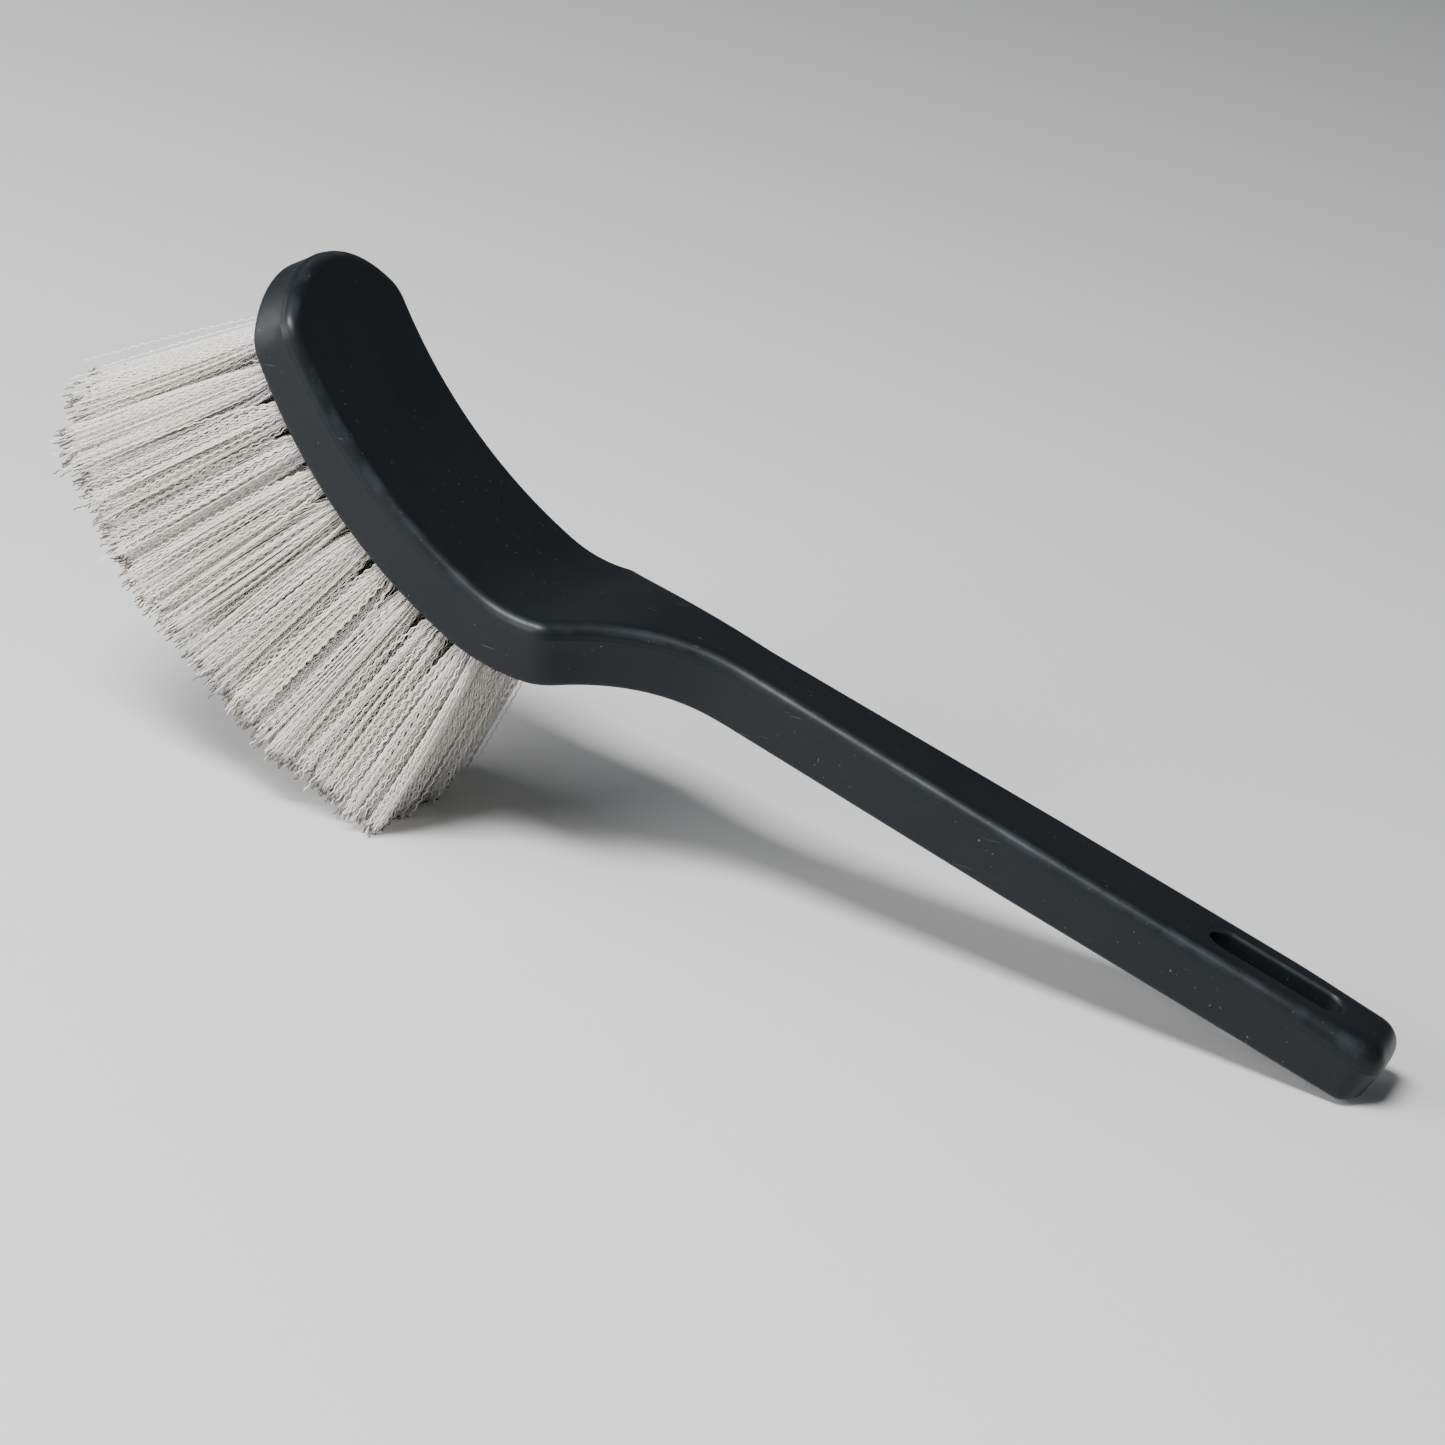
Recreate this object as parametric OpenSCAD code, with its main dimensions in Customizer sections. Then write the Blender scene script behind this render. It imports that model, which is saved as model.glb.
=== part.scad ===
// Wheel brush: a one-piece moulded handle and head, with tufts of filament
// folded round flat wire anchors and driven into blind holes in the head.
//
// The side profile is drawn in a handle frame: x runs along the grip away from
// the head, z is up out of the grip's top face, and the neck's first bend starts
// at the origin. The finished brush is then tilted so that it stands on its
// heel tufts and the end of its grip, with the floor at z = 0.

/* [Grip] */
// Length of the straight grip, from the first bend to the end
grip_l = 164; // [120:0.5:260]
// Width of the grip over its far part
grip_w = 21.4; // [19:0.1:28]
// Width of the grip where it leaves the neck
neck_w = 18.4; // [14:0.1:19]
// Distance over which the grip widens from the neck width to its full width
widening_l = 72; // [30:1:110]
// Thickness of the grip and neck
grip_t = 14.5; // [11:0.1:18]
// Radius of the grip's end corners, seen from above
end_corner_r = 6; // [2:0.5:8]

/* [Hanging slot] */
// Overall length of the slot
slot_l = 32; // [15:0.5:40]
// Width of the slot
slot_w = 8.3; // [5:0.1:10]
// Solid length left between the slot and the end of the grip
slot_land = 13.8; // [8:0.1:25]

/* [Neck] */
// Angle by which the neck first turns down from the grip
neck_turn = 22.1; // [20:0.1:25]
// Radius of the crest, where the grip turns down, on its top face
crest_r = 98; // [80:1:110]
// Radius of the hollow, where the neck turns into the head, on its top face
hollow_r = 32; // [25:0.5:50]
// Radius, seen from above, of the hollow flare by which the neck widens into the head
flare_r = 64; // [50:1:80]

/* [Head] */
// Width of the head
head_w = 52.4; // [48:0.2:60]
// Radius of the head's hollow back, and of its rounded underside
head_r = 131; // [115:1:170]
// Angle round the head at which the neck runs into it
head_join = 11.5; // [9:0.1:13]
// Angle round the head at which its toe ends
head_end = 48.2; // [47.5:0.1:52]
// Distance from the neck's first bend to where the head reaches its full width
heel_x = 40.6; // [38:0.2:44]
// Radius of the two heel corners
heel_corner_r = 5; // [3:0.5:8]
// Radius of the toe's round end
toe_r = 33; // [30:0.5:40]
// Radius of the toe's two corners
toe_corner_r = 9; // [5:0.5:14]

/* [Tufts] */
// Number of tuft rows that run the full width of the head
full_rows = 10; // [8:1:10]
// Number of tufts in a full row
lanes = 5; // [5:2:5]
// Number of tufts in the short row at the toe
toe_row_tufts = 3; // [1:2:3]
// Spacing of the tufts across the head
lane_pitch = 10; // [9:0.1:10.5]
// Angle round the underside from one row to the next
row_step = 3.65; // [3.6:0.01:3.65]
// Angle round the underside of the heel row
first_row_angle = 9.3; // [9:0.1:9.3]
// Angle round the underside of the short toe row
toe_row_angle = 46.2; // [46.2:0.1:46.6]
// Free length of the filaments in the heel row
heel_bristle_l = 51; // [48:1:65]
// Free length of the filaments in the toe row
toe_bristle_l = 58; // [48:1:65]
// Diameter of a tuft at its tips
tip_d = 11; // [7:0.1:11]
// Outward lean added for each lane away from the middle
lane_lean = 2; // [1.5:0.1:2.5]

/* [Tuft holes and anchors] */
// Diameter of a tuft hole
hole_d = 4.6; // [4:0.1:5]
// Depth of a tuft hole
hole_depth = 7.5; // [6:0.1:8]
// Width of an anchor, which bites into both sides of its hole
anchor_w = 5.2; // [5.1:0.1:5.6]
// Height of an anchor
anchor_h = 2; // [1.5:0.1:2.5]
// Thickness of an anchor's flat wire
anchor_t = 0.4; // [0.3:0.05:0.5]
// Height of the folded filament under an anchor
fold_h = 1.4; // [1:0.1:2]

/* [Hidden] */
$fn = 96;
tuft_gap = 0.05;       // play of a tuft in its hole, on the radius
anchor_gap = 0.03;     // play round an anchor where it passes through its tuft
cut = 1;               // how far a cutting shape runs past the face that it cuts
far = 400;             // longer than the whole brush

// Centres of the side profile's arcs, as [x, z]
function polar(r, a) = [-r * sin(a), -r * cos(a)];
crest_c = [0, -crest_r];
hollow_c = crest_c - polar(crest_r + hollow_r, -neck_turn);
back_c = hollow_c - polar(head_r - hollow_r, head_join);
sole_c = back_c + polar(grip_t, head_join);
toe_top = back_c + polar(head_r, head_end);

// Centres, seen from above, of the heel corner and of the flare on the +y side
heel_c = [-heel_x, head_w / 2 - heel_corner_r];
flare_y = neck_w / 2 + flare_r;
flare_c = heel_c + [sqrt(pow(flare_r + heel_corner_r, 2) - pow(flare_y - heel_c[1], 2)),
    flare_y - heel_c[1]];
flare_end = heel_c + (flare_c - heel_c) * heel_corner_r / (flare_r + heel_corner_r);

// Tuft places: [angle round the underside, distance across]
function lane_y(i, count) = (i - (count - 1) / 2) * lane_pitch;
full_places = [for (r = [0 : full_rows - 1], i = [0 : lanes - 1])
    [first_row_angle + r * row_step, lane_y(i, lanes)]];
toe_places = [for (i = [0 : toe_row_tufts - 1]) [toe_row_angle, lane_y(i, toe_row_tufts)]];
places = concat(full_places, toe_places);
full_names = [for (r = [1 : full_rows], i = [1 : lanes]) str("tuft_row", r, "_lane", i)];
toe_names = [for (i = [1 : toe_row_tufts]) str("tuft_toe", i)];
tuft_names = concat(full_names, toe_names);
function lean(y) = lane_lean * y / lane_pitch;
function bristle_l(angle) = heel_bristle_l + (toe_bristle_l - heel_bristle_l)
    * (angle - first_row_angle) / (toe_row_angle - first_row_angle);

// Resting attitude: the line from the heel tufts' lowest point to the grip's end is level
heel_tip = sole_c + polar(head_r + heel_bristle_l, first_row_angle)
    + tip_d / 2 * [cos(first_row_angle), -sin(first_row_angle)];
grip_foot = [grip_l, -grip_t];
rest_tilt = atan((grip_foot[1] - heel_tip[1]) / (grip_foot[0] - heel_tip[0]));
function stood(p) = [p[0] * cos(rest_tilt) + p[1] * sin(rest_tilt),
    -p[0] * sin(rest_tilt) + p[1] * cos(rest_tilt)];
toe_tip = sole_c + polar(head_r + toe_bristle_l, toe_row_angle)
    + tip_d / 2 * [-cos(toe_row_angle), sin(toe_row_angle)];
middle_x = (stood(toe_tip)[0] + stood([grip_l, 0])[0]) / 2;
floor_z = stood(grip_foot)[1];

// Moves a shape from the handle frame to the standing brush
module standing() {
    translate([-middle_x, 0, -floor_z]) rotate([0, rest_tilt, 0]) children();
}

// Extrudes a side-profile outline, drawn as [x, z], across the brush
module across(width) {
    rotate([90, 0, 0]) translate([0, 0, -width / 2]) linear_extrude(width) children();
}

// Everything on the head's side of the neck's change of bend
module neck_side() {
    polygon([crest_c, hollow_c, hollow_c + [-far, far], [-2 * far, -far], [far / 4, -far]]);
}

// Everything on the head's side of the line where the neck runs into the head
module head_side() {
    polygon([back_c - polar(far, head_join), back_c + polar(far, head_join),
        [-2 * far, -far], [-2 * far, far]]);
}

// Everything below the face that lies a depth under the top of grip, neck and head
module below(depth) {
    difference() {
        union() {
            translate([0, -far]) square([far, far - depth]);
            translate(crest_c) circle(crest_r - depth, $fn = 360);
            neck_side();
        }
        translate(hollow_c) circle(hollow_r + depth, $fn = 360);
        intersection() {
            translate(back_c + polar(depth, head_join)) circle(head_r, $fn = 720);
            head_side();
        }
    }
}

module side_profile() {
    difference() {
        below(0);
        below(grip_t);
    }
}

module plan_outline() {
    neck_x = flare_c[0];
    round_x = grip_l - end_corner_r;
    round_y = grip_w / 2 - end_corner_r;
    // Grip
    polygon([[neck_x - cut, -neck_w / 2], [neck_x, -neck_w / 2], [neck_x + widening_l, -grip_w / 2],
        [round_x, -grip_w / 2], [round_x, grip_w / 2],
        [neck_x + widening_l, grip_w / 2], [neck_x, neck_w / 2], [neck_x - cut, neck_w / 2]]);
    for (side = [-1, 1]) translate([round_x, side * round_y]) circle(end_corner_r);
    translate([round_x - cut, -round_y]) square([end_corner_r + cut, 2 * round_y]);
    // Neck's flare
    difference() {
        polygon([[-heel_x - cut, -heel_c[1]], [-heel_x, -heel_c[1]], [flare_end[0], -flare_end[1]],
            [neck_x, -neck_w / 2], [neck_x + cut, -neck_w / 2],
            [neck_x + cut, neck_w / 2], [neck_x, neck_w / 2],
            flare_end, heel_c, [-heel_x - cut, heel_c[1]]]);
        for (side = [-1, 1]) translate([flare_c[0], side * flare_c[1]]) circle(flare_r, $fn = 360);
    }
    for (side = [-1, 1]) translate([heel_c[0], side * heel_c[1]]) circle(heel_corner_r);
    // Head, open towards the toe
    translate([-heel_x - far, -head_w / 2]) square([far, head_w]);
}

// The toe's outline, seen square to the back at the toe, with its end at the origin
module toe_outline() {
    corner_y = head_w / 2 - toe_corner_r;
    corner_x = sqrt(pow(toe_r - toe_corner_r, 2) - pow(corner_y, 2)) - toe_r;
    spread = atan(corner_y / (corner_x + toe_r));
    translate([corner_x - far, -head_w / 2]) square([far, head_w]);
    for (side = [-1, 1]) translate([corner_x, side * corner_y]) circle(toe_corner_r);
    intersection() {
        translate([-toe_r, 0]) circle(toe_r, $fn = 180);
        translate([-toe_r, 0]) polygon([[0, 0], 2 * toe_r * [cos(spread), sin(spread)],
            2 * toe_r * [cos(spread), -sin(spread)]]);
    }
}

// Places a shape at a tuft: its z axis runs out along the tuft, from the mouth of the hole
module at_tuft(place) {
    root = sole_c + polar(head_r, place[0]);
    translate([root[0], place[1], root[1]]) rotate([0, place[0] + 180, 0])
        rotate([-lean(place[1]), 0, 0]) children();
}

module anchor(gap = 0) {
    translate([0, 0, fold_h - hole_depth + anchor_h / 2])
        cube([anchor_w, anchor_t + 2 * gap, anchor_h + 2 * gap], center = true);
}

module handle_and_head() {
    color("#353b40") standing() difference() {
        intersection() {
            across(head_w + 2 * cut) side_profile();
            translate([0, 0, -far / 2]) linear_extrude(far) plan_outline();
            translate([toe_top[0], 0, toe_top[1]]) rotate([0, head_end, 0]) mirror([1, 0, 0])
                translate([0, 0, -far / 2]) linear_extrude(far) toe_outline();
        }
        // Hanging slot
        for (side = [0, 1])
            translate([grip_l - slot_land - slot_w / 2 - side * (slot_l - slot_w), 0, -grip_t - cut])
                cylinder(d = slot_w, h = grip_t + 2 * cut);
        translate([grip_l - slot_land - slot_l + slot_w / 2, -slot_w / 2, -grip_t - cut])
            cube([slot_l - slot_w, slot_w, grip_t + 2 * cut]);
        // Tuft holes, and the bites of the anchors
        for (place = places) at_tuft(place) {
            translate([0, 0, -hole_depth]) cylinder(d = hole_d, h = hole_depth + cut, $fn = 48);
            anchor();
        }
    }
}

module anchor_staples() {
    color("#b9b4a2") standing() for (place = places) at_tuft(place) anchor();
}

module tuft(place) {
    color("#e4e0d6") standing() at_tuft(place) difference() {
        union() {
            translate([0, 0, -hole_depth + tuft_gap])
                cylinder(d = hole_d - 2 * tuft_gap, h = hole_depth - tuft_gap, $fn = 48);
            cylinder(d1 = hole_d - 2 * tuft_gap, d2 = tip_d, h = bristle_l(place[0]), $fn = 48);
        }
        anchor(anchor_gap);
    }
}

handle_and_head();
anchor_staples();
for (i = [0 : len(places) - 1])
    tuft(places[i]);
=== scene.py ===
"""Wheel brush: the moulded handle and head, its crimped filament tufts and their flat wire anchors.

The side profile is laid out in a handle frame in millimetres, as in the CAD: x runs along the grip away
from the head, z is up out of the grip's top face, and the neck's first bend starts at the origin.
"""
import math

import bpy
import numpy as np
from mathutils import Matrix, Vector, geometry


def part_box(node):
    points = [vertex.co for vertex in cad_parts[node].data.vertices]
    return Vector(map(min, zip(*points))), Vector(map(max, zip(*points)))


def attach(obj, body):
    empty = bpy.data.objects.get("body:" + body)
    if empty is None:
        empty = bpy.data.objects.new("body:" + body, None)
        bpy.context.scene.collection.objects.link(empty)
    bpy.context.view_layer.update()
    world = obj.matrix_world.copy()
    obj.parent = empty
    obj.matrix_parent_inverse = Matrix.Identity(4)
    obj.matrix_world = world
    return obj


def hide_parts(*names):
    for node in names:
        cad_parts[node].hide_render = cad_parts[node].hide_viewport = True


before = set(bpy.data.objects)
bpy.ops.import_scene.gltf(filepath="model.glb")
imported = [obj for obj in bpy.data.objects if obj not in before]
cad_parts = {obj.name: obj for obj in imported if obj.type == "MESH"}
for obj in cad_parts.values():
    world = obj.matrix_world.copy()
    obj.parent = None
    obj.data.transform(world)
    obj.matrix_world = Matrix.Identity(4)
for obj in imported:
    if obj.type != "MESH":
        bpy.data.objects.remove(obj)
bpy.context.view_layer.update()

MM = 0.001

# Driving sizes of the moulding, in millimetres and degrees, as in the CAD
GRIP_L = 164.0        # from the neck's first bend to the grip's end
GRIP_W = 21.4
NECK_W = 18.4
WIDENING_L = 72.0     # over which the grip widens from the neck width to its full width
GRIP_T = 14.5
END_CORNER_R = 6.0
SLOT_L = 32.0
SLOT_W = 8.3
SLOT_LAND = 13.8      # left between the slot and the grip's end
NECK_TURN = 22.1      # angle by which the neck first turns down from the grip
CREST_R = 98.0        # where the grip turns down
HOLLOW_R = 32.0       # where the neck turns into the head
FLARE_R = 64.0        # of the hollow flare, seen from above, by which the neck widens into the head
HEAD_W = 52.4
HEAD_R = 131.0
HEAD_JOIN = 11.5      # angle round the head at which the neck runs into it
HEAD_END = 48.2       # angle round the head at which its toe ends
HEEL_X = 40.6         # from the first bend to where the head reaches its full width, seen from above
HEEL_CORNER_R = 5.0
TOE_R = 33.0
TOE_CORNER_R = 9.0

# Edges of the moulding
TOP_R = 3.2           # fillet round the top face
END_TOP_R = 5.4       # the same fillet at the grip's end
END_EASE = 30.0       # length over which the fillet grows to that
SOLE_R = 1.3          # fillet round the underside
END_SOLE_EXTRA = 1.4  # how much larger it is at the grip's end
SLOT_TOP_R = 1.3
SLOT_SOLE_R = 0.6
WALL_DRAFT = 1.2      # degrees
END_DRAFT = 10.0      # degrees, on the grip's end face
TOE_DRAFT = 5.5       # degrees, on the toe's end face
LINE_DROP = 0.35      # from the top fillet down to the parting line
LINE_W = 0.5
LINE_H = 0.05

# Fineness of the moulding's mesh
SAME_POINT = 1e-4     # outline points closer than this are one
PROFILE_POINTS = 12001
MARGIN = 20.0         # how far the profile's table runs on past both ends
STEP = 1.6            # spacing of outline points on straight stretches
ARC_STEP = 0.8        # the same on arcs
FINE_STEP = 0.5       # the same on small arcs
TOP_SPACING = 2.4     # spacing of points within the top face
SOLE_SPACING = 3.0    # the same within the underside
EDGE_SHARE = 0.55     # share of that spacing that is left free along every edge
HOLE_SIDES = 20
SHARP_ANGLE = 50      # degrees between faces, over which an edge is sharp
RUBBED_RINGS = range(3, 7)   # rings of the top fillet that wear has rubbed

# Tufts, as in the CAD
FULL_ROWS = 10
LANES = 5
TOE_TUFTS = 3
LANE_PITCH = 10.0
ROW_STEP = 3.65       # degrees round the underside from one row to the next
FIRST_ROW = 9.3       # degrees, for the heel row
TOE_ROW = 46.2        # degrees, for the short row at the toe
HEEL_BRISTLE_L = 51.0
TOE_BRISTLE_L = 58.0
TIP_D = 11.0
LANE_LEAN = 2.0       # degrees outwards for each lane away from the middle
HOLE_D = 4.6
HOLE_DEPTH = 7.5
FOLD_H = 1.4          # height of the folded filament under an anchor

# Filaments
PAIRS = 56            # folded filaments in a tuft, each with two ends
FILAMENT_R = 0.165
FILAMENT_SIDES = 3
HOLE_PLAY = 0.35      # from the hole's wall and bottom to the nearest filament's centre line
ANCHOR_PLAY = 0.3     # from the anchor's middle plane to the nearest filament's centre line
ROOT_R = HOLE_D / 2 - HOLE_PLAY
FOLD_POINTS = 7
CRIMP_PITCH = 2.7
CRIMP_H = 0.25
CRIMP_EASE = 12       # the crimp is full from this fraction of the free length: 1 / 12
POINTS_PER_CRIMP = 4.0
SPREAD = 0.42         # power of the free length by which a tuft spreads: under 1 it opens out near its root
TIP_U = 7.0           # how far from the tuft's middle the outermost ends lie, along the head
TIP_V = 6.0           # the same across the head
STRAY_SHARE = 0.05    # share of the ends that stand apart
STRAY = 2.5           # and by how much
SHORT_SHARE = 0.06    # share of the ends that are cut short
SHORT_BY = 3.0        # and by how much
TOE_LEAN = 4.5        # how far the toe row's tips lie back towards the other rows
TUFT_SCATTER_U = 0.9  # how far whole tufts stand from their places, along the head
TUFT_SCATTER_V = 0.6  # the same across the head
TUFT_SCATTER_L = 0.7  # the same in free length
TIP_SCATTER = 0.8     # how far the ends stand from their places in the tuft
END_SCATTER_L = 0.7   # the same in length
BOW = 0.5             # how far the free ends bow to a side
PITCH_SCATTER = 0.005   # by which the crimp's pitch varies, as a share of it
PHASE_SCATTER = 0.3   # radians, by which neighbours' crimps are out of step
PLANE_SCATTER = 0.5   # radians, by which the planes of neighbours' crimps differ
SOILED_SHARE = 0.75   # share of the filaments whose cut ends are soiled
CLEAN_REACH = 0.93    # how near a clean filament's ends come to the soiled zone, which starts just past it
SEED = 4

# Camera and stage
CAMERA_AT = (0.2728, -0.7573, 0.3415)
CAMERA_TURN = (-19.6, 20.56, 9.41)   # azimuth, elevation and roll, in degrees
CAMERA_LENS = 96.2
SENSOR_W = 36.0
LAMP_AIM = (0, 0, 0.05)
FLOOR_CORNERS = [(-4, -3, 0), (4, -3, 0), (4, 6, 0), (-4, 6, 0)]


# ---------------------------------------------------------------- the side profile

def polar(r, a):
    """A vector of length r, a radians from straight down towards the toe, as [x, z]."""
    return np.stack([-r * np.sin(a), -r * np.cos(a)], -1)


turn, join, end = (math.radians(a) for a in (NECK_TURN, HEAD_JOIN, HEAD_END))
crest_c = np.array([0.0, -CREST_R])
hollow_c = crest_c - polar(CREST_R + HOLLOW_R, -turn)
back_c = hollow_c - polar(HEAD_R - HOLLOW_R, join)
sole_c = back_c + polar(GRIP_T, join)

# Arc length along the top face, from the grip's end to the toe, and how far the face has turned there
S_CREST = CREST_R * turn
S_JOIN = S_CREST + HOLLOW_R * (turn + join)
S_TOE = S_JOIN + HEAD_R * (end - join)
s_table = np.linspace(-GRIP_L - MARGIN, S_TOE + MARGIN, PROFILE_POINTS)
turned = np.interp(s_table, [0, S_CREST, S_JOIN, S_TOE + MARGIN], [0, -turn, join, end + MARGIN / HEAD_R])
steps = np.diff(s_table)
middle = (turned[1:] + turned[:-1]) / 2
x_table = np.concatenate([[0], np.cumsum(-np.cos(middle) * steps)])
z_table = np.concatenate([[0], np.cumsum(np.sin(middle) * steps)])
x_table -= np.interp(0, s_table, x_table)
z_table -= np.interp(0, s_table, z_table)

# Resting attitude: the lowest point of the heel tufts and the grip's end both meet the floor
first_row = math.radians(FIRST_ROW)
heel_edge = TIP_D / 2 * np.array([math.cos(first_row), -math.sin(first_row)])
heel_tip = sole_c + polar(HEAD_R + HEEL_BRISTLE_L, first_row) + heel_edge
rest_tilt = math.atan((-GRIP_T - heel_tip[1]) / (GRIP_L - heel_tip[0]))
cos_t, sin_t = math.cos(rest_tilt), math.sin(rest_tilt)
low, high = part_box("handle_and_head")
shift_x = high.x - GRIP_L * cos_t * MM
shift_z = low.z + (GRIP_L * sin_t + GRIP_T * cos_t) * MM


def stand(x, y, z):
    """Points of the handle frame, in millimetres, as points of the row frame, in metres."""
    level = (x * cos_t + z * sin_t) * MM + shift_x
    upright = (z * cos_t - x * sin_t) * MM + shift_z
    return np.stack([level, y * MM, upright], -1)


def stand_points(p):
    """The same for an array of [x, y, z]."""
    return stand(p[..., 0], p[..., 1], p[..., 2])


def turned_at(s):
    """How far the top face has turned at arc length s."""
    return np.interp(s, s_table, turned)


def thickness(s):
    """From the top face to the underside, square to the top face."""
    lag = np.maximum(turned_at(s) - join, 0) * (np.asarray(s) > S_JOIN)
    reach = GRIP_T * np.cos(lag) + np.sqrt(HEAD_R ** 2 - (GRIP_T * np.sin(lag)) ** 2) - HEAD_R
    return np.where(np.asarray(s) > S_JOIN, reach, GRIP_T)


def skin(s, y, depth):
    """Row-frame points at arc length s, y across, and depth under the top face."""
    s, y, depth = np.broadcast_arrays(np.asarray(s, float), y, depth)
    down = polar(1.0, turned_at(s))
    x = np.interp(s, s_table, x_table) + depth * down[..., 0]
    z = np.interp(s, s_table, z_table) + depth * down[..., 1]
    return stand(x, y, z)


def on_top(s, y):
    """Row-frame points on the top face."""
    return skin(s, y, 0)


def on_sole(s, y):
    """Row-frame points on the underside."""
    return skin(s, y, thickness(s))


def smooth(t):
    """Eases from 0 to 1 as t does."""
    t = np.clip(t, 0, 1)
    return t * t * (3 - 2 * t)


# ---------------------------------------------------------------- outlines, as (s, y, normal s, normal y)

def line(a, b, normal):
    """A straight stretch from a to b."""
    n = max(2, int(math.dist(a, b) / STEP) + 1)
    t = np.linspace(0, 1, n)[:, None]
    points = np.array(a) * (1 - t) + np.array(b) * t
    return np.hstack([points, np.tile(normal, (n, 1))])


def arc(centre, r, a, b, inside=False, step=ARC_STEP):
    """An arc from angle a to b in degrees, counted from +s towards +y. inside turns its normals round."""
    n = max(5, int(abs(math.radians(b - a)) * r / step) + 1)
    t = np.radians(np.linspace(a, b, n))
    out = np.stack([np.cos(t), np.sin(t)], 1)
    return np.hstack([np.array(centre) + r * out, -out if inside else out])


def along_surface(part):
    """Turns an outline's first coordinate from distance seen from above, past the bend, to arc length."""
    part[:, 0] = np.interp(part[:, 0], -x_table, s_table)
    return part


def new_points(loop):
    """Which points of an outline don't repeat the one before."""
    return np.append(True, np.hypot(*np.diff(loop[:, :2], axis=0).T) > SAME_POINT)


def outline():
    """The moulding's closed outline, from the middle of the grip's end, by +y, to the toe and back."""
    half, grip, neck = HEAD_W / 2, GRIP_W / 2, NECK_W / 2
    end_s = -GRIP_L + END_CORNER_R
    end_y = grip - END_CORNER_R
    heel_s = float(np.interp(HEEL_X, -x_table, s_table))
    heel_y = half - HEEL_CORNER_R
    flare_y = neck + FLARE_R
    flare_x = HEEL_X - math.sqrt((FLARE_R + HEEL_CORNER_R) ** 2 - (flare_y - heel_y) ** 2)
    meet = math.degrees(math.atan2(flare_y - heel_y, HEEL_X - flare_x))
    narrow_x = flare_x - WIDENING_L
    corner_y = half - TOE_CORNER_R
    corner_s = math.sqrt((TOE_R - TOE_CORNER_R) ** 2 - corner_y ** 2) + S_TOE - TOE_R
    spread = math.degrees(math.atan2(corner_y, corner_s - S_TOE + TOE_R))
    side = np.vstack([
        line((-GRIP_L, 0), (-GRIP_L, end_y), (-1, 0)),
        arc((end_s, end_y), END_CORNER_R, 180, 90),
        line((end_s, grip), (narrow_x, grip), (0, 1)),
        along_surface(line((narrow_x, grip), (flare_x, neck), (0, 1))),
        along_surface(arc((flare_x, flare_y), FLARE_R, -90, -meet, inside=True)),
        along_surface(arc((HEEL_X, heel_y), HEEL_CORNER_R, 180 - meet, 90, step=FINE_STEP)),
        line((heel_s, half), (corner_s, half), (0, 1)),
        arc((corner_s, corner_y), TOE_CORNER_R, 90, spread),
        arc((S_TOE - TOE_R, 0), TOE_R, spread, 0)])
    side = side[new_points(side)]
    other = side[-2:0:-1] * [1, -1, 1, -1]
    return np.vstack([side, other])


def slot_outline():
    """The hanging slot's closed outline, with normals that point into the slot."""
    r = SLOT_W / 2
    a = -GRIP_L + SLOT_LAND + r
    b = a + SLOT_L - SLOT_W
    loop = np.vstack([
        line((a, r), (b, r), (0, -1)),
        arc((b, 0), r, 90, -90, inside=True, step=FINE_STEP),
        line((b, -r), (a, -r), (0, 1)),
        arc((a, 0), r, -90, -270, inside=True, step=FINE_STEP)])
    keep = new_points(loop)
    keep[-1] = False
    return loop[keep]


# ---------------------------------------------------------------- tuft places

def tuft_places():
    """(node, angle round the underside in radians, y) for each tuft."""
    places = []
    for row in range(FULL_ROWS):
        angle = math.radians(FIRST_ROW + row * ROW_STEP)
        for lane in range(LANES):
            y = (lane - (LANES - 1) / 2) * LANE_PITCH
            places.append((f"tuft_row{row + 1}_lane{lane + 1}", angle, y))
    for i in range(TOE_TUFTS):
        y = (i - (TOE_TUFTS - 1) / 2) * LANE_PITCH
        places.append((f"tuft_toe{i + 1}", math.radians(TOE_ROW), y))
    return places


def bristle_l(angle):
    """Free length of the filaments of the row at that angle."""
    share = (math.degrees(angle) - FIRST_ROW) / (TOE_ROW - FIRST_ROW)
    return HEEL_BRISTLE_L + (TOE_BRISTLE_L - HEEL_BRISTLE_L) * share


def tuft_frame(angle, y):
    """Origin at the hole's mouth, and axes along the head, across it and out along the tuft."""
    root = sole_c + polar(HEAD_R, angle)
    lean = math.radians(LANE_LEAN * y / LANE_PITCH)
    sa, ca, sl, cl = math.sin(angle), math.cos(angle), math.sin(lean), math.cos(lean)
    origin = np.array([root[0], y, root[1]])
    along = np.array([-ca, 0, sa])
    across = np.array([sl * sa, cl, sl * ca])
    out = np.array([-sa * cl, sl, -ca * cl])
    return origin, along, across, out


# ---------------------------------------------------------------- the moulding

def show(name, mesh):
    """Puts a mesh in the scene as an object."""
    piece = bpy.data.objects.new(name, mesh)
    bpy.context.scene.collection.objects.link(piece)
    return piece


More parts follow.
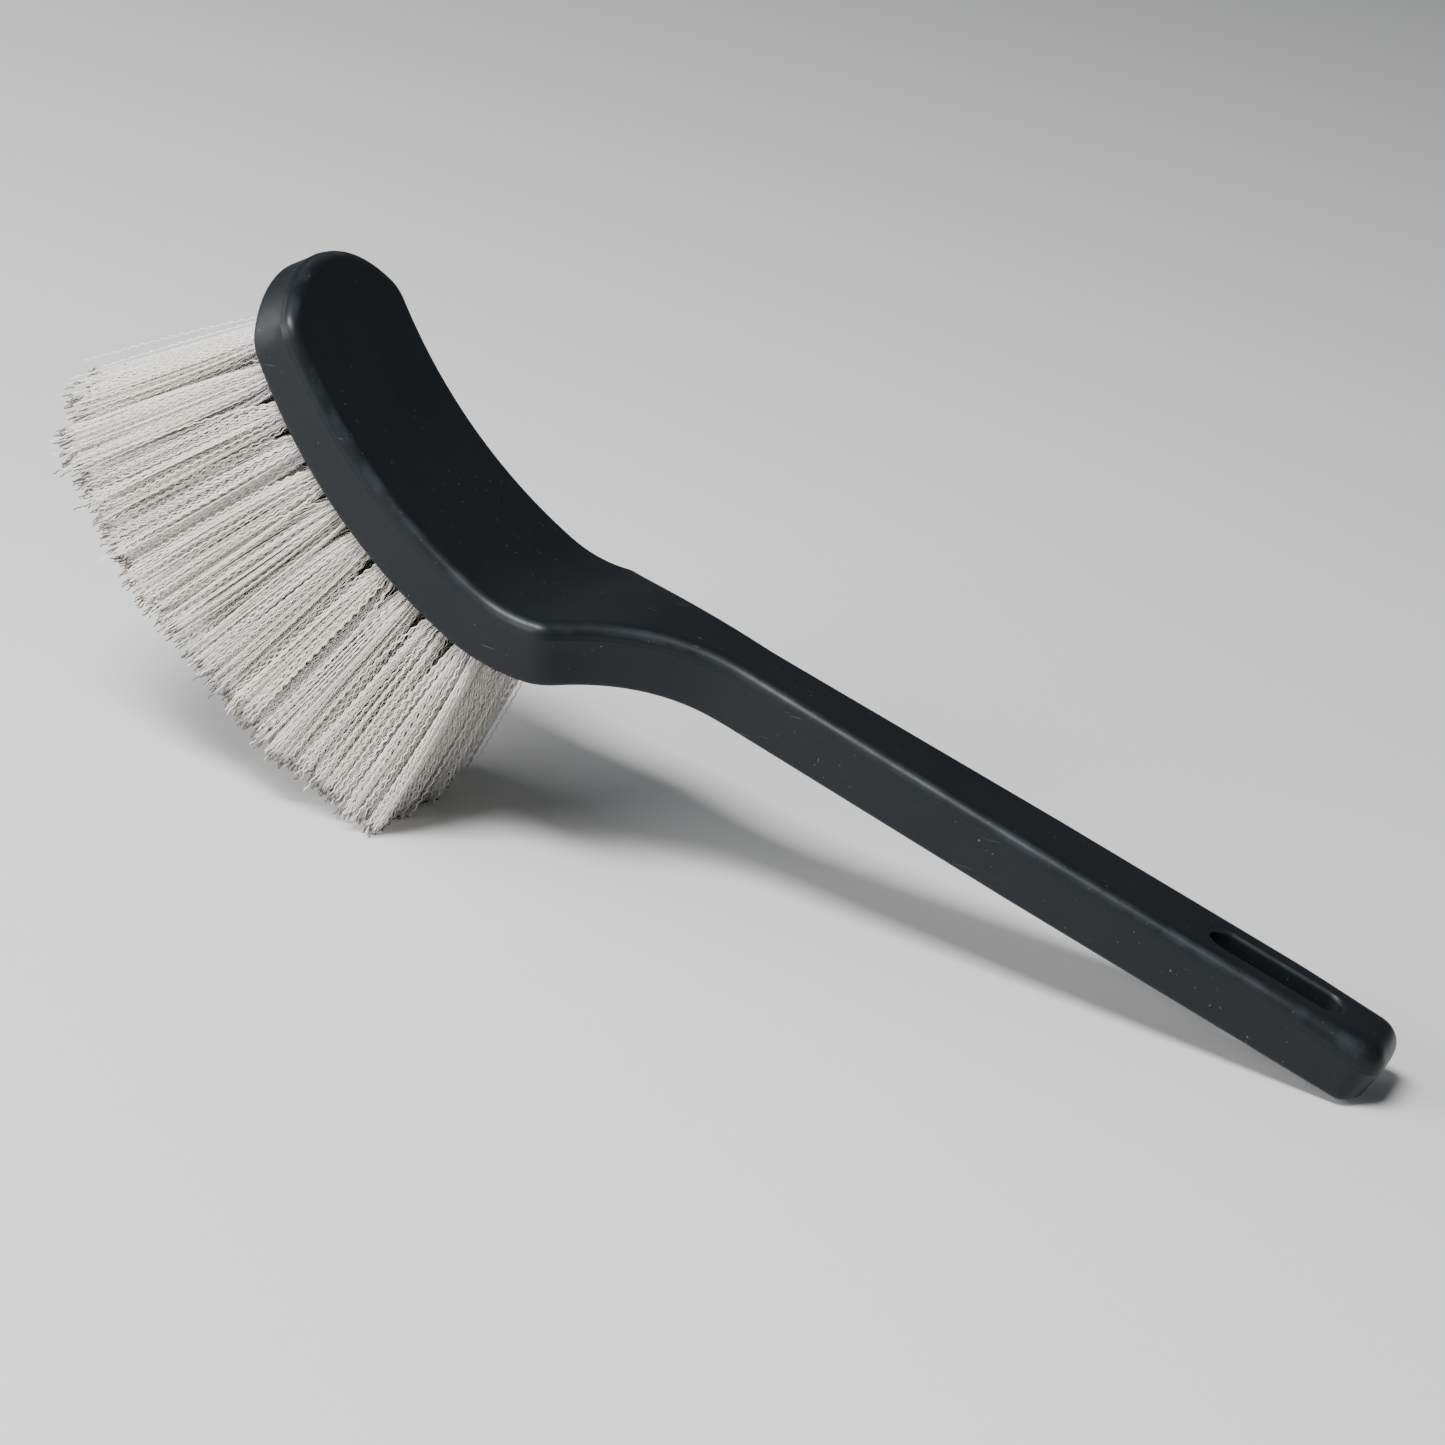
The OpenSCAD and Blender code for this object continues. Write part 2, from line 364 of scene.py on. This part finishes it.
class Mesh:
    """Collects vertices and faces, in metres in the row frame."""

    def __init__(self):
        self.points = []
        self.faces = []
        self.rubbed = []
        self.count = 0

    def add(self, points, rubbed=0.0):
        """Adds vertices, and says how far wear has rubbed them. Returns the first one's number."""
        first = self.count
        self.points.append(np.asarray(points, float).reshape(-1, 3))
        self.rubbed.append(np.full(len(self.points[-1]), rubbed))
        self.count += len(self.points[-1])
        return first

    def strip(self, first, n, rings):
        """Quads between closed rings of n vertices that follow one another from vertex first."""
        i = np.arange(n)
        j = (i + 1) % n
        for ring in range(rings - 1):
            a = first + ring * n
            self.faces.extend(np.stack([a + i, a + j, a + n + j, a + n + i], 1).tolist())

    def build(self, name, sharp_angle):
        """Makes the object, smooth but for edges sharper than the angle."""
        mesh = bpy.data.meshes.new(name)
        mesh.from_pydata(np.vstack(self.points).tolist(), [], self.faces)
        worn = mesh.attributes.new("rubbed", "FLOAT", "POINT")
        worn.data.foreach_set("value", np.concatenate(self.rubbed))
        mesh.polygons.foreach_set("use_smooth", [True] * len(mesh.polygons))
        mesh.set_sharp_from_angle(angle=math.radians(sharp_angle))
        return show(name, mesh)


def inside(points, loop):
    """Which points lie in a closed loop."""
    x, y = points[:, 0, None], points[:, 1, None]
    a, b = loop, np.roll(loop, -1, 0)
    crosses = (a[:, 1] > y) != (b[:, 1] > y)
    with np.errstate(divide="ignore", invalid="ignore"):
        at = a[:, 0] + (y - a[:, 1]) * (b[:, 0] - a[:, 0]) / (b[:, 1] - a[:, 1])
    return (crosses & (x < at)).sum(1) % 2 == 1


def distance_to(points, loop):
    """How far each point lies from the nearest point of a loop."""
    near = np.full(len(points), np.inf)
    for part in np.array_split(loop, max(1, len(loop) // 64)):
        near = np.minimum(near, np.hypot(*(points[:, None] - part[None]).transpose(2, 0, 1)).min(1))
    return near


def fill_points(loops, spacing):
    """Staggered points within the first loop, outside the others and clear of all their edges."""
    outer = loops[0]
    lo, hi = outer.min(0), outer.max(0)
    gs, gy = np.meshgrid(np.arange(lo[0], hi[0], spacing), np.arange(lo[1], hi[1], spacing))
    gs[1::2] += spacing / 2
    grid = np.stack([gs.ravel(), gy.ravel()], 1)
    grid = grid[inside(grid, outer)]
    for loop in loops:
        keep = distance_to(grid, loop) > EDGE_SHARE * spacing
        if loop is not outer:
            keep &= ~inside(grid, loop)
        grid = grid[keep]
    return grid


def loop_edges(loops):
    """The edges of loops whose points are numbered one after another."""
    edges = []
    start = 0
    for loop in loops:
        n = len(loop)
        edges += [(start + i, start + (i + 1) % n) for i in range(n)]
        start += n
    return edges


def cap(mesh, loops, firsts, place, spacing, upward):
    """Fills the first loop, less the others, with triangles. place turns (s, y) into row-frame points."""
    grid = fill_points(loops, spacing)
    flat = np.vstack(list(loops) + [grid])
    index = [np.arange(len(loop)) + first for loop, first in zip(loops, firsts)]
    start = mesh.add(place(grid[:, 0], grid[:, 1]))
    index = np.concatenate(index + [start + np.arange(len(grid))])
    points = [Vector(p) for p in flat]
    _, _, faces, source, _, _ = geometry.delaunay_2d_cdt(points, loop_edges(loops), [], 0, 1e-7)
    source = np.array([x[0] for x in source])
    faces = source[np.array(faces)]
    centre = flat[faces].mean(1)
    keep = inside(centre, loops[0])
    for loop in loops[1:]:
        keep &= ~inside(centre, loop)
    faces = faces[keep]
    a, b, c = flat[faces[:, 0]], flat[faces[:, 1]], flat[faces[:, 2]]
    area = (b[:, 0] - a[:, 0]) * (c[:, 1] - a[:, 1]) - (b[:, 1] - a[:, 1]) * (c[:, 0] - a[:, 0])
    flip = (area > 0) == upward
    faces[flip] = faces[flip][:, ::-1]
    mesh.faces.extend(index[faces].tolist())


def wall_section(t, top_r, sole_r, draft, line_h):
    """The wall's section as (inset, depth) steps: top fillet, parting line, drafted wall, lower fillet."""
    section = []
    for a in np.radians(np.linspace(0, 90, 9)):
        section.append((top_r * (1 - np.sin(a)), top_r * (1 - np.cos(a))))
    for drop, out in ((0, 0), (0.3, 1), (0.7, 1), (1, 0)):
        section.append((-line_h * out, top_r + LINE_DROP + drop * LINE_W))
    for share in (0.33, 0.66, 1):
        depth = (top_r + LINE_DROP + LINE_W) * (1 - share) + (t - sole_r) * share
        section.append(((depth - top_r) * draft, depth))
    wall = (t - sole_r - top_r) * draft
    for a in np.radians(np.linspace(0, 90, 6))[1:]:
        section.append((wall + sole_r * (1 - np.cos(a)), t - sole_r + sole_r * np.sin(a)))
    return section


def rim(mesh, loop, top_r, sole_r, draft, line_h):
    """The rounded wall round an outline. Returns its top and lower edges, each with its first vertex."""
    s, y, ns, ny = loop.T
    section = wall_section(thickness(s), top_r, sole_r, draft, line_h)
    first = mesh.count
    edges = []
    for ring, (inset, depth) in enumerate(section):
        edge = np.stack([s - ns * inset, y - ny * inset], 1)
        start = mesh.add(skin(edge[:, 0], edge[:, 1], depth), 1.0 if ring in RUBBED_RINGS else 0.0)
        edges.append((edge, start))
    mesh.strip(first, len(loop), len(section))
    return edges[0], edges[-1]


def tuft_holes(mesh):
    """Adds the blind tuft holes. Returns the outline of each hole's mouth and its first vertex."""
    around = np.linspace(0, 2 * np.pi, HOLE_SIDES, endpoint=False)
    underside = np.stack([x_table, z_table], 1) + thickness(s_table)[:, None] * polar(1.0, turned)
    stretches = np.hypot(*np.gradient(underside, s_table, axis=0).T)
    r = HOLE_D / 2
    mouths = []
    for _, angle, y in tuft_places():
        origin, along, across, out = tuft_frame(angle, y)
        nearest = np.hypot(*(underside - origin[[0, 2]]).T).argmin()
        s = s_table[nearest] + r * np.cos(around) / stretches[nearest]
        mouth = np.stack([s, y + r * np.sin(around)], 1)
        circle = r * (np.cos(around)[:, None] * along + np.sin(around)[:, None] * across)
        bottom = origin - HOLE_DEPTH * out
        first = mesh.add(on_sole(mouth[:, 0], mouth[:, 1]))
        lower = mesh.add(stand_points(bottom + circle))
        mesh.strip(first, HOLE_SIDES, 2)
        centre = mesh.add(stand_points(bottom))
        for i in range(HOLE_SIDES):
            mesh.faces.append([lower + i, lower + (i + 1) % HOLE_SIDES, centre])
        mouths.append((mouth, first))
    return mouths


def moulding():
    """The one-piece handle and head, with its slot and its blind tuft holes."""
    mesh = Mesh()
    loop = outline()
    near_end = smooth((-loop[:, 0] - GRIP_L + END_EASE) / END_EASE)
    top_r = TOP_R + (END_TOP_R - TOP_R) * near_end
    facing_end = smooth(-loop[:, 2]) * (loop[:, 0] < -GRIP_L / 2)
    facing_toe = smooth(loop[:, 2]) * (loop[:, 0] > S_JOIN)
    slope = WALL_DRAFT + (END_DRAFT - WALL_DRAFT) * facing_end + (TOE_DRAFT - WALL_DRAFT) * facing_toe
    sole_r = SOLE_R + facing_end * END_SOLE_EXTRA
    top, sole = rim(mesh, loop, top_r, sole_r, np.tan(np.radians(slope)), LINE_H)
    slot_top, slot_sole = rim(mesh, slot_outline(), SLOT_TOP_R, SLOT_SOLE_R, 0.0, 0.0)
    loops, firsts = zip(top, slot_top)
    cap(mesh, loops, firsts, on_top, TOP_SPACING, True)
    loops, firsts = zip(sole, slot_sole, *tuft_holes(mesh))
    cap(mesh, loops, firsts, on_sole, SOLE_SPACING, False)
    piece = mesh.build("handle_and_head_moulding", SHARP_ANGLE)
    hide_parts("handle_and_head")
    return piece


# ---------------------------------------------------------------- filaments
# A tuft's own frame is (u, v, w): u along the head, v across it and w out along the tuft.

def roots(rng):
    """Where each folded filament lies in the hole. v is its distance from the anchor's middle plane."""
    turn_round = rng.uniform(0, np.pi, PAIRS)
    from_middle = ROOT_R * np.sqrt(rng.uniform(0.02, 1, PAIRS))
    u = from_middle * np.cos(turn_round)
    v = np.maximum(from_middle * np.sin(turn_round), ANCHOR_PLAY)
    return u, v


def one_line(start, tip, bow, swing, h):
    """One coordinate of each free end: it spreads from start to tip, bows, and swings with the crimp."""
    return start[:, None] + (tip - start)[:, None] * h ** SPREAD + bow[:, None] * np.sin(np.pi * h) + swing


def free_ends(u0, v0, lean_u, lean_v, free_l, phase, plane, h, rng):
    """The ends on one side of the anchor, out from the hole's mouth, and their crimp from 0 to 1."""
    u_tip = u0 / ROOT_R * TIP_U + lean_u + rng.normal(0, TIP_SCATTER, PAIRS)
    v_tip = v0 / ROOT_R * TIP_V + lean_v + rng.normal(0, TIP_SCATTER, PAIRS)
    stray = rng.uniform(size=PAIRS) < STRAY_SHARE
    u_tip += stray * rng.normal(0, STRAY, PAIRS)
    v_tip += stray * rng.normal(0, STRAY, PAIRS)
    uneven = rng.normal(0, END_SCATTER_L, PAIRS)
    short = rng.uniform(size=PAIRS) < SHORT_SHARE
    w = h * (free_l + uneven - SHORT_BY * short)[:, None]
    bow_u, bow_v = rng.normal(0, BOW, (2, PAIRS))
    pitch = CRIMP_PITCH * rng.normal(1, PITCH_SCATTER, PAIRS)[:, None]
    shift = rng.normal(0, PHASE_SCATTER, PAIRS)[:, None]
    crimp = smooth(h * CRIMP_EASE) * np.sin(2 * np.pi * w / pitch + phase + shift)
    lie = plane + rng.normal(0, PLANE_SCATTER, PAIRS)[:, None]
    u = one_line(u0, u_tip, bow_u, CRIMP_H * crimp * np.cos(lie), h)
    v = one_line(v0, v_tip, bow_v, CRIMP_H * crimp * np.sin(lie), h)
    return np.stack([u, v, w], -1), 0.5 + 0.5 * crimp


def folds(u0, v0):
    """The stretch of each filament that is folded round under the anchor."""
    bend = np.radians(np.linspace(0, 180, FOLD_POINTS))
    u = np.tile(u0[:, None], (1, FOLD_POINTS))
    v = v0[:, None] * np.cos(bend)
    w = np.tile(FOLD_H - HOLE_DEPTH - (FOLD_H - HOLE_PLAY) * np.sin(bend), (PAIRS, 1))
    return np.stack([u, v, w], -1)


def tubes(centre, along):
    """Rings of vertices round each centre line. The first of each ring points along the head."""
    tangent = np.gradient(centre, axis=1)
    tangent /= np.linalg.norm(tangent, axis=-1, keepdims=True)
    base = stand_points(along) - stand_points(np.zeros(3))
    base /= np.linalg.norm(base)
    side = base - (tangent @ base)[..., None] * tangent
    side /= np.linalg.norm(side, axis=-1, keepdims=True)
    up = np.cross(tangent, side)
    turns = np.arange(FILAMENT_SIDES)[:, None] * 2 * np.pi / FILAMENT_SIDES
    round_line = np.cos(turns) * side[:, :, None] + np.sin(turns) * up[:, :, None]
    return centre[:, :, None] + FILAMENT_R * MM * round_line


def tube_faces(k):
    """The wall quads and the end triangles of all tubes with k rings, as vertex numbers."""
    m = FILAMENT_SIDES
    i, j = np.meshgrid(np.arange(k - 1), np.arange(m), indexing="ij")
    beside = (j + 1) % m
    quad = np.stack([i * m + j, i * m + beside, (i + 1) * m + beside, (i + 1) * m + j], -1).reshape(-1, 4)
    ends = np.array([np.arange(m)[::-1], (k - 1) * m + np.arange(m)])
    starts = np.arange(PAIRS)[:, None, None] * k * m
    return (quad[None] + starts).reshape(-1, 4), (ends[None] + starts).reshape(-1, m)


def tube_mesh(name, rings):
    """A mesh of closed tubes."""
    quads, ends = tube_faces(rings.shape[1])
    points = rings.reshape(-1, 3)
    corners = np.concatenate([quads.ravel(), ends.ravel()])
    sizes = np.concatenate([np.full(len(quads), 4), np.full(len(ends), FILAMENT_SIDES)])
    starts = np.concatenate([[0], np.cumsum(sizes)[:-1]])
    mesh = bpy.data.meshes.new(name)
    mesh.vertices.add(len(points))
    mesh.vertices.foreach_set("co", points.ravel().astype(np.float32))
    mesh.loops.add(len(corners))
    mesh.loops.foreach_set("vertex_index", corners.astype(np.int32))
    mesh.polygons.add(len(sizes))
    mesh.polygons.foreach_set("loop_start", starts.astype(np.int32))
    mesh.polygons.foreach_set("loop_total", sizes.astype(np.int32))
    mesh.update(calc_edges=True)
    mesh.polygons.foreach_set("use_smooth", np.ones(len(sizes), bool))
    return mesh


def note(mesh, name, values):
    """Keeps one number for each vertex, for the material."""
    kept = mesh.attributes.new(name, "FLOAT", "POINT")
    kept.data.foreach_set("value", values.astype(np.float32))


def tuft(node, angle, y, rng):
    """One tuft: filaments folded round its anchor, crimped, spreading out to uneven cut ends."""
    origin, along, across, out = tuft_frame(angle, y)
    u0, v0 = roots(rng)
    lean_u = rng.normal(0, TUFT_SCATTER_U)
    lean_v = rng.normal(0, TUFT_SCATTER_V)
    if node.startswith("tuft_toe"):
        lean_u -= TOE_LEAN
    phase = rng.uniform(0, 2 * np.pi)
    plane = rng.uniform(0, np.pi)
    free_l = bristle_l(angle) + rng.normal(0, TUFT_SCATTER_L)
    h = np.linspace(0, 1, int(free_l / CRIMP_PITCH * POINTS_PER_CRIMP))
    near, near_crimp = free_ends(u0, v0, lean_u, lean_v, free_l, phase, plane, h, rng)
    far, far_crimp = free_ends(u0, -v0, lean_u, lean_v, free_l, phase, plane, h, rng)
    path = np.concatenate([near[:, ::-1], folds(u0, v0), far], 1)
    centre = stand_points(origin + path[..., :1] * along + path[..., 1:2] * across + path[..., 2:] * out)
    centre[..., 2] = np.maximum(centre[..., 2], FILAMENT_R * MM)
    rings = tubes(centre, along)
    ring_points = rings.shape[1] * FILAMENT_SIDES
    mesh = tube_mesh(f"bristles_{node}", rings)
    note(mesh, "shade", np.repeat(rng.uniform(0, 1, PAIRS), ring_points))
    soiled = np.where(rng.uniform(size=PAIRS) < SOILED_SHARE, 1.0, CLEAN_REACH)
    # reach runs from 0 at the hole's mouth to 1 at the cut end; the material paints shade near the root and
    # dirt on soiled ends.
    reach = soiled[:, None] * np.concatenate([h[::-1], np.zeros(FOLD_POINTS), h])
    note(mesh, "reach", np.repeat(reach.ravel(), FILAMENT_SIDES))
    # The crimp's phase from 0 to 1, which the material turns into painted glints on each crimp crest and
    # painted shade in the troughs.
    crest = np.concatenate([near_crimp[:, ::-1], np.full((PAIRS, FOLD_POINTS), 0.5), far_crimp], 1)
    note(mesh, "crest", np.repeat(crest.ravel(), FILAMENT_SIDES))
    piece = show(f"bristles_{node}", mesh)
    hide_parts(node)
    return piece


# ---------------------------------------------------------------- materials

def new_material(name):
    """An empty material, its nodes, its links and its main shader."""
    material = bpy.data.materials.new(name)
    material.use_nodes = True
    nodes, links = material.node_tree.nodes, material.node_tree.links
    return material, nodes, links, nodes["Principled BSDF"]


def attribute(nodes, name):
    """Reads a number that the mesh keeps for each vertex."""
    node = nodes.new("ShaderNodeAttribute")
    node.attribute_name = name
    return node


def object_place(nodes):
    """The point's place on its own object."""
    return nodes.new("ShaderNodeTexCoord").outputs["Object"]


def noise(nodes, links, vector, scale, detail):
    """A noise from 0 to 1."""
    node = nodes.new("ShaderNodeTexNoise")
    node.inputs["Scale"].default_value = scale
    node.inputs["Detail"].default_value = detail
    node.inputs["Roughness"].default_value = 0.55
    links.new(vector, node.inputs["Vector"])
    return node.outputs["Fac"]


def ramp(nodes, links, value, stops):
    """Turns a value into a colour or a grey by (value, colour) stops."""
    node = nodes.new("ShaderNodeValToRGB")
    elements = node.color_ramp.elements
    while len(elements) < len(stops):
        elements.new(0.5)
    for element, (at, colour) in zip(elements, stops):
        element.position = at
        element.color = (*colour, 1) if hasattr(colour, "__len__") else (colour, colour, colour, 1)
    links.new(value, node.inputs["Fac"])
    return node.outputs["Color"]


def mix(nodes, links, fac, a, b, kind="MIX"):
    """Mixes two colours. Each input is a value or another node's output."""
    node = nodes.new("ShaderNodeMix")
    node.data_type = "RGBA"
    node.blend_type = kind
    for socket, value in (("Factor", fac), ("A", a), ("B", b)):
        target = [i for i in node.inputs if i.name == socket and i.enabled][0]
        if hasattr(value, "links"):
            links.new(value, target)
        else:
            target.default_value = (*value, 1) if hasattr(value, "__len__") else value
    return [o for o in node.outputs if o.enabled][0]


def bump(nodes, links, height, distance, strength, normal=None):
    """Raises the surface by a height, on top of another bump if one is given."""
    node = nodes.new("ShaderNodeBump")
    node.inputs["Distance"].default_value = distance
    node.inputs["Strength"].default_value = strength
    links.new(height, node.inputs["Height"])
    if normal is not None:
        links.new(normal, node.inputs["Normal"])
    return node.outputs["Normal"]


def scuff_marks(nodes, links, place):
    """Sparse hairlines, all along one slanting direction."""
    stretch = nodes.new("ShaderNodeMapping")
    stretch.inputs["Scale"].default_value = (0.09, 1.0, 1.3)
    stretch.inputs["Rotation"].default_value = (0.2, 0.35, 0.5)
    links.new(place, stretch.inputs["Vector"])
    hairs = noise(nodes, links, stretch.outputs["Vector"], 900, 2)
    return ramp(nodes, links, hairs, [(0.735, 0.0), (0.77, 1.0)])


def plastic():
    """Dark blue-grey moulded plastic: fine grain, soft sheen, hairline scuffs and rubbed edges."""
    material, nodes, links, shader = new_material("moulded_plastic")
    place = object_place(nodes)
    patchy = ramp(nodes, links, noise(nodes, links, place, 140, 5), [(0.42, 0.0), (0.7, 1.0)])
    rub = mix(nodes, links, 1.0, attribute(nodes, "rubbed").outputs["Color"], patchy, "MULTIPLY")
    shades = [(0.3, (0.0048, 0.0064, 0.0078)), (0.7, (0.0074, 0.0095, 0.0112))]
    colour = ramp(nodes, links, noise(nodes, links, place, 22, 5), shades)
    colour = mix(nodes, links, rub, colour, (0.022, 0.027, 0.031))
    specks = ramp(nodes, links, noise(nodes, links, place, 1300, 1), [(0.765, 0.0), (0.79, 1.0)])
    colour = mix(nodes, links, specks, colour, (0.075, 0.082, 0.088))
    scuffs = scuff_marks(nodes, links, place)
    colour = mix(nodes, links, scuffs, colour, (0.034, 0.040, 0.045))
    links.new(colour, shader.inputs["Base Color"])
    shader.inputs["Specular IOR Level"].default_value = 0.22
    gloss = ramp(nodes, links, noise(nodes, links, place, 60, 6), [(0.3, 0.34), (0.75, 0.46)])
    gloss = mix(nodes, links, rub, gloss, (0.30, 0.30, 0.30))
    links.new(gloss, shader.inputs["Roughness"])
    grain = bump(nodes, links, noise(nodes, links, place, 4200, 2), 0.00003, 0.5)
    scratched = bump(nodes, links, scuffs, 0.00003, 0.35, grain)
    sag = bump(nodes, links, noise(nodes, links, place, 35, 2), 0.0004, 0.22, scratched)
    links.new(sag, shader.inputs["Normal"])
    return material


def bristle():
    """Translucent off-white filament: tone varies by filament, painted glints on each crimp crest, painted
    shade near the roots, soiled cut ends.
    """
    material, nodes, links, shader = new_material("crimped_nylon")
    shades = [(0.0, (0.90, 0.88, 0.83)), (0.5, (0.97, 0.92, 0.84)), (1.0, (0.99, 0.93, 0.81))]
    own = ramp(nodes, links, attribute(nodes, "shade").outputs["Fac"], shades)
    # Along the filament: painted shade darkens the first eighth out from the root; the cut ends of soiled
    # filaments turn dark brown.
    soil_and_root_shade_stops = [(0.0, (0.85, 0.85, 0.85)), (0.12, (1, 1, 1)), (0.94, (1, 1, 1)), (0.965, (0.09, 0.065, 0.05))]
    soil_and_root_shade = ramp(nodes, links, attribute(nodes, "reach").outputs["Fac"], soil_and_root_shade_stops)
    # Painted glints and painted shade: each crimp crest is painted brighter and each trough darker,
    # standing in for light catching the crimp.
    painted_glint_stops = [(0.0, (0.86, 0.88, 0.90)), (0.7, (0.93, 0.93, 0.93)), (0.92, (1, 1, 1))]
    painted_crest_glint = ramp(nodes, links, attribute(nodes, "crest").outputs["Fac"], painted_glint_stops)
    colour = mix(nodes, links, 1.0, mix(nodes, links, 1.0, own, soil_and_root_shade, "MULTIPLY"), painted_crest_glint, "MULTIPLY")
    links.new(colour, shader.inputs["Base Color"])
    shader.inputs["Subsurface Weight"].default_value = 0.3
    shader.inputs["Subsurface Radius"].default_value = (1.0, 0.95, 0.85)
    shader.inputs["Subsurface Scale"].default_value = 0.0012
    place = object_place(nodes)
    gloss = ramp(nodes, links, noise(nodes, links, place, 400, 3), [(0.3, 0.14), (0.7, 0.26)])
    links.new(gloss, shader.inputs["Roughness"])
    fine = bump(nodes, links, noise(nodes, links, place, 2500, 2), 0.00002, 0.4)
    links.new(fine, shader.inputs["Normal"])
    return material


def anchor_wire():
    """Drawn flat wire, dull and finely mottled."""
    material, nodes, links, shader = new_material("flat_wire")
    place = object_place(nodes)
    shades = [(0.3, (0.42, 0.41, 0.39)), (0.7, (0.62, 0.60, 0.56))]
    links.new(ramp(nodes, links, noise(nodes, links, place, 300, 4), shades), shader.inputs["Base Color"])
    shader.inputs["Metallic"].default_value = 1.0
    gloss = ramp(nodes, links, noise(nodes, links, place, 1500, 3), [(0.3, 0.28), (0.7, 0.5)])
    links.new(gloss, shader.inputs["Roughness"])
    fine = bump(nodes, links, noise(nodes, links, place, 3000, 2), 0.00002, 0.5)
    links.new(fine, shader.inputs["Normal"])
    return material


# ---------------------------------------------------------------- the stage

def floor():
    """A plain pale floor."""
    mesh = bpy.data.meshes.new("studio_floor")
    mesh.from_pydata(FLOOR_CORNERS, [], [(0, 1, 2, 3)])
    piece = show("studio_floor", mesh)
    material, _, _, shader = new_material("pale_floor")
    shader.inputs["Base Color"].default_value = (0.72, 0.72, 0.72, 1)
    shader.inputs["Roughness"].default_value = 0.75
    mesh.materials.append(material)


def lamp(name, at, size, watts):
    """A soft white lamp, size (width, height), that faces the brush."""
    light = bpy.data.lights.new(name, "AREA")
    light.shape = "RECTANGLE"
    light.size, light.size_y = size
    light.energy = watts
    piece = show(name, light)
    piece.location = at
    piece.rotation_euler = (Vector(LAMP_AIM) - Vector(at)).to_track_quat("-Z", "Y").to_euler()


def air():
    """Faint, slightly blue light from all round."""
    world = bpy.data.worlds.new("studio")
    world.use_nodes = True
    background = world.node_tree.nodes["Background"]
    background.inputs["Color"].default_value = (0.9, 0.94, 1.0, 1)
    background.inputs["Strength"].default_value = 0.14
    bpy.context.scene.world = world


def camera():
    """The photograph's viewing angle: from the grip's side, a little above, and slightly rolled."""
    data = bpy.data.cameras.new("camera")
    data.lens = CAMERA_LENS
    data.sensor_width = SENSOR_W
    piece = show("camera", data)
    azimuth, elevation, roll = (math.radians(a) for a in CAMERA_TURN)
    level = math.cos(elevation)
    facing = Vector((math.sin(azimuth) * level, math.cos(azimuth) * level, -math.sin(elevation)))
    right = facing.cross(Vector((0, 0, 1))).normalized()
    up = right.cross(facing)
    rolled_right = right * math.cos(roll) + up * math.sin(roll)
    rolled_up = up * math.cos(roll) - right * math.sin(roll)
    attitude = Matrix((rolled_right, rolled_up, -facing)).transposed().to_4x4()
    piece.matrix_world = Matrix.Translation(CAMERA_AT) @ attitude
    bpy.context.scene.camera = piece


# ---------------------------------------------------------------- the brush

camera()
floor()
lamp("key", (-0.25, -0.75, 1.35), (0.7, 0.35), 36)
lamp("front_fill", (-1.1, -1.3, 0.7), (1.2, 0.8), 32)
lamp("left_fill", (-1.6, -0.2, 0.7), (0.9, 0.9), 14)
air()

body = moulding()
body.data.materials.append(plastic())
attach(body, "root")
nylon = bristle()
for index, (node, angle, y) in enumerate(tuft_places()):
    piece = tuft(node, angle, y, np.random.default_rng(SEED * 1000 + index))
    piece.data.materials.append(nylon)
    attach(piece, "root")
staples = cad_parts["anchor_staples"]
staples.data.materials.clear()
staples.data.materials.append(anchor_wire())
